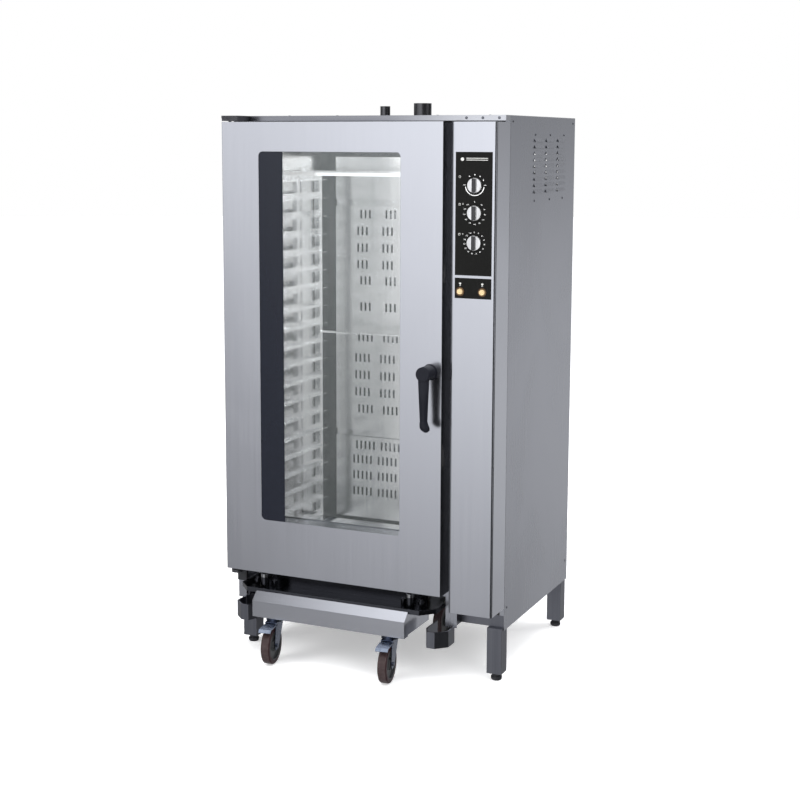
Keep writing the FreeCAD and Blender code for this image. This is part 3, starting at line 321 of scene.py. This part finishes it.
# painted shade: everything below the tray's rim is painted dark
tray = steel("steel_tray", (0.50, 0.505, 0.52), (0.60, 0.605, 0.62), 0.24, "x",
             shaded=("Z", tray_rim - 0.0090, tray_rim - 0.0110, (0.10, 0.103, 0.118)))
bright = steel("steel_bright", BRIGHT_DARK, BRIGHT_LIGHT, 0.20, edge=0.0, smears=0.03, wave=0.5)
# painted shade: the liner is painted dark behind the baffles, so the slots read dark
liner = steel("steel_liner", BRIGHT_DARK, BRIGHT_LIGHT, 0.20, edge=0.0, smears=0.03, wave=0.5,
              shaded=("Y", baffle_back, baffle_back + 0.004, BAFFLE_SHADE))
baffle_steel = steel("steel_baffle", BRIGHT_DARK, BRIGHT_LIGHT, 0.24, edge=0.0, smears=0.03,
                     wave=0.3)
bright_cross = steel("steel_bright_cross", BRIGHT_DARK, BRIGHT_LIGHT, 0.14, "y", edge=0.0)
tube = steel("steel_tube", (0.52, 0.525, 0.55), (0.60, 0.605, 0.63), 0.26, edge=0.0)
stack = steel("steel_heat_darkened", (0.10, 0.10, 0.105), (0.17, 0.17, 0.178), 0.30, smears=0.06)
painted = moulded("painted_bracket", (0.018, 0.019, 0.022), (0.04, 0.04, 0.045), 0.38, 500.0,
                  0.2)
galvanised = zinc_plate("galvanised_sheet", (0.30, 0.31, 0.33), (0.46, 0.47, 0.49), 0.38)
zinc = zinc_plate("bright_zinc", (0.22, 0.26, 0.34), (0.38, 0.43, 0.52), 0.26)
fork_zinc = zinc_plate("fork_zinc", (0.07, 0.085, 0.13), (0.19, 0.22, 0.29), 0.26)
silicone = moulded("silicone_seal", (0.030, 0.030, 0.033), (0.055, 0.055, 0.06), 0.62, 500.0)
foot_plastic = moulded("foot_plastic", (0.018, 0.019, 0.023), (0.045, 0.045, 0.050), 0.50)
handle_plastic = moulded("handle_plastic", (0.0070, 0.0075, 0.0115), (0.011, 0.012, 0.017), 0.40,
                         1100.0, edge=0.0015, gloss=0.16)
button_plastic = moulded("button_plastic", (0.52, 0.38, 0.20), (0.60, 0.47, 0.28), 0.34,
                         relief=0.04, edge=0.0010, coat=0.2)
switch_plastic = moulded("switch_plastic", (0.060, 0.030, 0.010), (0.10, 0.050, 0.018), 0.32,
                         relief=0.06, coat=0.3)
heater = moulded("heater_sheath", (0.050, 0.042, 0.040), (0.12, 0.10, 0.09), 0.55, 300.0)
glass = pane("float_glass", (0.80, 0.90, 0.88))
film = printed_film("overlay_film")
lamps = lamp_glass("lamp_glass")
wool = mineral_wool("mineral_wool")

FINISHES = {
    door_steel: ["door_outer_skin"],
    front: ["control_fascia"],
    front_cross: ["trolley_apron"],
    trim: ["top_front_trim", "top_panel"],
    side: ["side_panel_right", "side_panel_left", "rear_panel"],
    inner: ["front_frame", "door_inner_panel", "window_spacer"],
    dull: ["legs", "trolley_guides", "base_frame", "panel_screws"],
    tray: ["trolley_tray"],
    tube: ["trolley_chassis", "fan_wheel_lower", "fan_wheel_middle", "fan_wheel_upper"],
    liner: ["cavity_liner"],
    baffle_steel: ["fan_baffle_lower", "fan_baffle_middle", "fan_baffle_upper"],
    bright: ["rack_frame", "latch_keeper", "handle_spindle", "steam_generator", "service_fittings"],
    bright_cross: ["rack_runners", "drip_pan"],
    stack: ["vent_stacks"],
    painted: ["hinge_brackets"],
    galvanised: ["fan_motors", "electrical_tray"],
    zinc: ["brake_pedal_left", "brake_pedal_right"],
    fork_zinc: ["caster_fork_left", "caster_fork_right"],
    silicone: ["door_gasket"],
    foot_plastic: ["levelling_feet", "hinge_bushes"],
    handle_plastic: ["door_handle"],
    button_plastic: ["left_button", "right_button"],
    switch_plastic: ["button_switches", "rotary_switches"],
    heater: ["heating_elements"],
    glass: ["outer_glass", "inner_glass"],
    film: ["control_overlays"],
    lamps: ["cavity_lamps"],
    wool: ["insulation"],
}


def dress(node, material):
    """Puts a material in every slot of a CAD node."""
    thing = nodes[node]
    if not thing.material_slots:
        thing.data.materials.append(material)
    for slot in thing.material_slots:
        slot.material = material


for material, names in FINISHES.items():
    for name in names:
        dress(name, material)


def middle(node):
    low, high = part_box(node)
    return (low + high) / 2


def joint_axis(child):
    """The rest axis of the joint that moves a body."""
    found = [joint for joint in frame["joints"] if joint["child"] == child]
    return Vector(found[0]["axis"]).normalized()


WHEELS = ("front_wheel_left", "front_wheel_right", "rear_wheel_left", "rear_wheel_right")
for name in WHEELS:
    dress(name, caster_wheel("wheel_" + name, middle(name), joint_axis(name)))

KNOBS = ("mode_knob", "temperature_knob", "timer_knob")
DISC_DEPTH = 0.0064
film_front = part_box("control_overlays")[0].y
for name in KNOBS:
    dress(name, knob_face("face_" + name, middle(name).x, film_front - DISC_DEPTH))


# ---- printed pieces -------------------------------------------------------------------

PRINT = 0.00012


def add_shape(mesh, points, y, thickness=PRINT):
    """A thin flat plate in the xz plane, from an outline, standing forward of y."""
    back = [mesh.verts.new((x, y, z)) for x, z in points]
    face = mesh.faces.new(back)
    grown = bmesh.ops.extrude_face_region(mesh, geom=[face])
    moved = [item for item in grown["geom"] if isinstance(item, bmesh.types.BMVert)]
    bmesh.ops.translate(mesh, verts=moved, vec=(0, -thickness, 0))


def around(centre, radius, angle):
    """A point on a dial, its angle in degrees clockwise from the top."""
    turn = math.radians(angle)
    return centre[0] + radius * math.sin(turn), centre[1] + radius * math.cos(turn)


def arc(centre, radius, width, start, end, steps=18):
    """A flat band round a dial, from one angle to another."""
    angles = [start + (end - start) * step / steps for step in range(steps + 1)]
    outer = [around(centre, radius + width / 2, angle) for angle in angles]
    inner = [around(centre, radius - width / 2, angle) for angle in reversed(angles)]
    return outer + inner


def tick(centre, radius, length, width, angle):
    """A short flat line that points at a dial's centre."""
    x, z = around(centre, radius, angle)
    turn = math.radians(angle)
    along = Vector((math.sin(turn), math.cos(turn))) * length / 2
    across = Vector((math.cos(turn), -math.sin(turn))) * width / 2
    corners = (along + across, along - across, -along - across, -along + across)
    return [(x + corner.x, z + corner.y) for corner in corners]


def disc(centre, radius, steps=16):
    return [around(centre, radius, 360.0 * step / steps) for step in range(steps)]


def bar(x, z, width, height):
    return [(x - width / 2, z - height / 2), (x + width / 2, z - height / 2),
            (x + width / 2, z + height / 2), (x - width / 2, z + height / 2)]


def add_number(mesh, text, x, z, size, y):
    """A number on a dial's scale, as thin as the other marks."""
    curve = bpy.data.curves.new("number", "FONT")
    curve.body = text
    curve.size = size
    curve.align_x = "CENTER"
    curve.align_y = "CENTER"
    curve.extrude = PRINT / 2
    carrier = bpy.data.objects.new("number", curve)
    letters = bpy.data.meshes.new_from_object(carrier)
    upright = Matrix.Rotation(math.pi / 2, 4, "X")
    letters.transform(Matrix.Translation((x, y - PRINT / 2, z)) @ upright)
    mesh.from_mesh(letters)
    bpy.data.objects.remove(carrier)
    bpy.data.meshes.remove(letters)


def finish_piece(name, mesh, material, body):
    """Makes a piece of a mesh, with its material and body."""
    bmesh.ops.recalc_face_normals(mesh, faces=mesh.faces)
    data = bpy.data.meshes.new(name)
    mesh.to_mesh(data)
    mesh.free()
    data.materials.append(material)
    thing = bpy.data.objects.new(name, data)
    bpy.context.scene.collection.objects.link(thing)
    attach(thing, body)
    return thing


white_ink = ink("white_ink", (0.80, 0.80, 0.79))
pale_ink = ink("pale_ink", (0.50, 0.50, 0.48))


def printed(name, shapes, material, numbers=()):
    """Marks printed on the control overlays: outlines, and (text, x, z, size) numbers."""
    mesh = bmesh.new()
    for shape in shapes:
        add_shape(mesh, shape, film_front)
    for text, x, z, size in numbers:
        add_number(mesh, text, x, z, size, film_front)
    return finish_piece(name, mesh, material, "oven")


dial = {name: (middle(name).x, middle(name).z) for name in KNOBS}

MODE_R = 0.0305
top = dial["mode_knob"]
shapes = [arc(top, MODE_R, 0.0024, start, start + 53) for start in (98, 153.5, 209)]
shapes += [tick(top, MODE_R + 0.003, 0.007, 0.0013, angle) for angle in (88, 272)]
shapes += [tick(top, MODE_R + 0.002, 0.003, 0.0030, angle) for angle in (-32, 0, 32, 60)]
printed("mode_marks", shapes, white_ink)

NUMBER = 0.0052


def scale_numbers(knob, radius, marks):
    """Numbers round a dial, from (number, angle) pairs."""
    return [(str(number), *around(dial[knob], radius, angle), NUMBER) for number, angle in marks]


TEMPERATURE_R = 0.0340
temperatures = [(50 + 20 * step, 42 + 27.6 * step) for step in range(11)] + [(0, 0)]
printed("temperature_marks", [], white_ink,
        scale_numbers("temperature_knob", TEMPERATURE_R, temperatures))

TIMER_R = 0.0330
minutes = [(10 * step, 24 * step) for step in range(15)]
printed("timer_marks", [], white_ink, scale_numbers("timer_knob", TIMER_R, minutes))


def drop(x, z, size):
    """A small drop shape, its point at the bottom."""
    half = size / 2
    turns = [2 * math.pi * step / 20 for step in range(20)]
    return [(x + half * math.sin(turn) * (1 - math.cos(turn)) / 1.3, z - half * math.cos(turn))
            for turn in turns]


film_low, film_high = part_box("control_overlays")
icon_x = film_low.x + 0.014
shapes = []
for name in KNOBS:
    z = dial[name][1] + 0.026
    shapes += [arc((icon_x, z), 0.0034, 0.0009, 0, 350), bar(icon_x, z + 0.0008, 0.0009, 0.0038)]
    if name != "mode_knob":
        shapes += [bar(icon_x + 0.011, z + up, 0.0042, 0.0010) for up in (0, 0.0026)]
for name in ("left_button", "right_button"):
    spot = middle(name)
    shapes += [drop(spot.x, spot.z + 0.0235, 0.0080),
               bar(spot.x, spot.z + 0.0180, 0.0060, 0.0011)]
printed("panel_icons", shapes, pale_ink)

centre_x = middle("control_overlays").x
shapes = [bar(centre_x + 0.010, film_high.z - down, 0.070, 0.0020) for down in (0.019, 0.0245)]
shapes.append(disc((centre_x - 0.038, film_high.z - 0.022), 0.0055))
printed("panel_mark", shapes, pale_ink)

# the dark band printed down the hinge side of the outer pane, just clear of the glass
BAND = 0.100
BAND_GAP = 0.00002
BAND_THICKNESS = 0.00005
pane_low, pane_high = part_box("outer_glass")
mesh = bmesh.new()
corners = bar(pane_low.x + BAND / 2, middle("outer_glass").z, BAND, pane_high.z - pane_low.z)
add_shape(mesh, corners, pane_low.y - BAND_GAP, BAND_THICKNESS)
finish_piece("glass_band", mesh, ceramic_print("ceramic_print"), "door")


# ---- floor, light and camera ----------------------------------------------------------

FLOOR_RADIUS = 30.0
FLOOR_Z = -0.0005


def floor():
    """A wide pale studio floor, a little uneven in tone."""
    net = Net("studio_floor")
    tone = net.noise((1.2, 1.2, 1.2), 3.0)
    net.set(Base_Color=net.mix(tone, (0.90, 0.90, 0.90), (0.94, 0.94, 0.94)),
            Roughness=net.span(tone, 0.3, 0.7, 0.7, 0.8))
    net.set(Specular_IOR_Level=0.1, Emission_Color=(1, 1, 1, 1), Emission_Strength=0.40)
    net.bump(net.noise((40.0, 40.0, 40.0), 2.0), 0.02, 0.001)
    mesh = bmesh.new()
    turns = [2 * math.pi * step / 64 for step in range(64)]
    mesh.faces.new([mesh.verts.new((FLOOR_RADIUS * math.cos(turn),
                                    FLOOR_RADIUS * math.sin(turn), FLOOR_Z)) for turn in turns])
    data = bpy.data.meshes.new("floor")
    mesh.to_mesh(data)
    mesh.free()
    data.materials.append(net.material)
    thing = bpy.data.objects.new("floor", data)
    bpy.context.scene.collection.objects.link(thing)
    thing.visible_glossy = False


floor()


def area(name, place, target, size, power, color=(1, 1, 1), mirrored=True):
    """A soft panel at place that faces target; mirrored says whether steel reflects it."""
    data = bpy.data.lights.new(name, "AREA")
    data.shape = "RECTANGLE"
    data.size, data.size_y = size
    data.energy = power
    data.color = color
    light = bpy.data.objects.new(name, data)
    bpy.context.scene.collection.objects.link(light)
    light.location = place
    light.rotation_euler = (Vector(target) - Vector(place)).to_track_quat("-Z", "Y").to_euler()
    light.visible_camera = False
    light.visible_glossy = mirrored


area("key", (-2.6, -3.8, 3.4), (0, -0.2, 0.9), (2.4, 2.4), 110, mirrored=False)
area("fill", (3.6, -3.2, 2.4), (0, -0.2, 0.8), (2.0, 2.4), 60, mirrored=False)
area("overhead", (0, -0.4, 4.6), (0, -0.4, 0), (5.0, 5.0), 220, mirrored=False)
area("rim", (3.4, 3.2, 2.6), (0.4, 0, 1.0), (2.0, 2.4), 60, mirrored=False)

# inside the cavity: two wide soft panels just behind the door, that the bright sheet mirrors,
# a strip up the wall that the lamps are on, and one under the ceiling
WARM = (1.0, 0.99, 0.97)
liner_low, liner_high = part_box("cavity_liner")
inside = (liner_low + liner_high) / 2
mouth_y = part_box("inner_glass")[1].y + 0.015
tall = liner_high.z - liner_low.z
for name, share, power in (("cavity_high", 0.75, 0.80), ("cavity_low", 0.25, 0.58)):
    z = liner_low.z + share * tall
    area(name, (inside.x, mouth_y, z), (inside.x, mouth_y + 1, z), (0.60, tall * 0.5), power)
area("cavity_wall", (liner_high.x - 0.012, liner_low.y + 0.12, inside.z + 0.05),
     (liner_low.x, inside.y + 0.10, inside.z), (0.05, 1.15), 3.5, WARM)
area("cavity_ceiling", (inside.x + 0.05, inside.y - 0.1, liner_high.z - 0.02),
     (inside.x + 0.05, inside.y - 0.1, 0), (0.45, 0.30), 1.4, WARM)

world = bpy.data.worlds.new("studio")
bpy.context.scene.world = world
world.use_nodes = True
tree = world.node_tree
tree.nodes.clear()


def world_node(kind, inputs=None, **settings):
    node = tree.nodes.new(kind)
    for key, value in settings.items():
        setattr(node, key, value)
    for key, value in (inputs or {}).items():
        if isinstance(value, bpy.types.NodeSocket):
            tree.links.new(value, node.inputs[key])
        else:
            node.inputs[key].default_value = value
    return node


def world_span(value, low, high, out_low, out_high, shape="SMOOTHSTEP"):
    """Maps a value from one range to another."""
    inputs = {"Value": value, "From Min": low, "From Max": high,
              "To Min": out_low, "To Max": out_high}
    return world_node("ShaderNodeMapRange", inputs, interpolation_type=shape).outputs["Result"]


def world_math(operation, a, b):
    return world_node("ShaderNodeMath", {0: a, 1: b}, operation=operation).outputs[0]


def world_mix(factor, a, b):
    """a where factor is 0 and b where it is 1."""
    rest = world_math("SUBTRACT", 1.0, factor)
    return world_math("ADD", world_math("MULTIPLY", a, rest), world_math("MULTIPLY", b, factor))


def wall(height, power, gain, floor_level):
    """A wall's brightness, which falls off downwards to the floor's."""
    return world_math("ADD", world_math("MULTIPLY", world_math("POWER", height, power), gain),
                      floor_level)


direction = world_node("ShaderNodeTexCoord").outputs["Generated"]
axes = world_node("ShaderNodeSeparateXYZ", {"Vector": direction}).outputs


# The studio as the steel reflects it: a pale wall in front that darkens downwards and to the
# left, a grey one behind, dark ends, and a soft box overhead on the right.
height = world_span(axes["Z"], -0.32, 0.0, 0.0, 1.0, "LINEAR")
left_wall = wall(height, 1.9, 0.72, 0.20)
right_wall = wall(height, 0.8, 1.00, 0.34)
front_wall = world_mix(world_span(axes["X"], -0.525, -0.39, 0.0, 1.0), left_wall, right_wall)
back_wall = world_math("MULTIPLY", world_span(axes["Z"], 0.05, -0.12, 0.37, 0.61),
                       world_span(axes["Z"], -0.18, -0.34, 1.0, 0.86))
level = world_mix(world_span(axes["Y"], 0.35, -0.35, 0.0, 1.0), back_wall, front_wall)
right_end = world_math("MULTIPLY", world_span(axes["X"], 0.10, 0.34, 0.0, 1.0),
                       world_span(axes["Y"], 0.90, 0.80, 0.0, 1.0))
level = world_mix(right_end, level, 0.03)
level = world_mix(world_span(axes["X"], -0.72, -0.90, 0.0, 1.0), level, 0.16)
far_ends = world_span(world_math("ABSOLUTE", axes["X"], 0.0), 0.945, 0.970, 0.0, 1.0)
level = world_mix(far_ends, level, 0.48)
soft_box = world_span(axes["X"], -0.480, -0.412, 0.02, 1.30)
level = world_mix(world_span(axes["Z"], 0.30, 0.50, 0.0, 1.0), level, soft_box)
studio = world_node("ShaderNodeBackground", {"Color": (0.96, 0.97, 1.0, 1.0), "Strength": level})
paper = world_node("ShaderNodeBackground", {"Color": (1, 1, 1, 1), "Strength": 1.0})
seen = world_node("ShaderNodeLightPath").outputs["Is Camera Ray"]
mixed = world_node("ShaderNodeMixShader", {0: seen, 1: studio.outputs[0], 2: paper.outputs[0]})
world_node("ShaderNodeOutputWorld", {"Surface": mixed.outputs[0]})

# The camera was fitted to the casing's edges in the photograph.  Angles are in degrees.
CAMERA_PLACE = (2.0722, -4.554, 1.725)
CAMERA_YAW = 24.38
CAMERA_PITCH = -7.75
CAMERA_ROLL = 0.20
camera_data = bpy.data.cameras.new("camera")
camera_data.sensor_width = 36.0
camera_data.lens = 66.8
camera_data.shift_y = -0.07
camera_data.clip_end = 100.0
camera = bpy.data.objects.new("camera", camera_data)
bpy.context.scene.collection.objects.link(camera)
camera.matrix_world = (Matrix.Translation(CAMERA_PLACE)
                       @ Matrix.Rotation(math.radians(CAMERA_YAW), 4, "Z")
                       @ Matrix.Rotation(math.radians(90 + CAMERA_PITCH), 4, "X")
                       @ Matrix.Rotation(math.radians(CAMERA_ROLL), 4, "Z"))
bpy.context.scene.camera = camera
bpy.context.scene.view_settings.view_transform = "Standard"
bpy.context.scene.view_settings.look = "None"
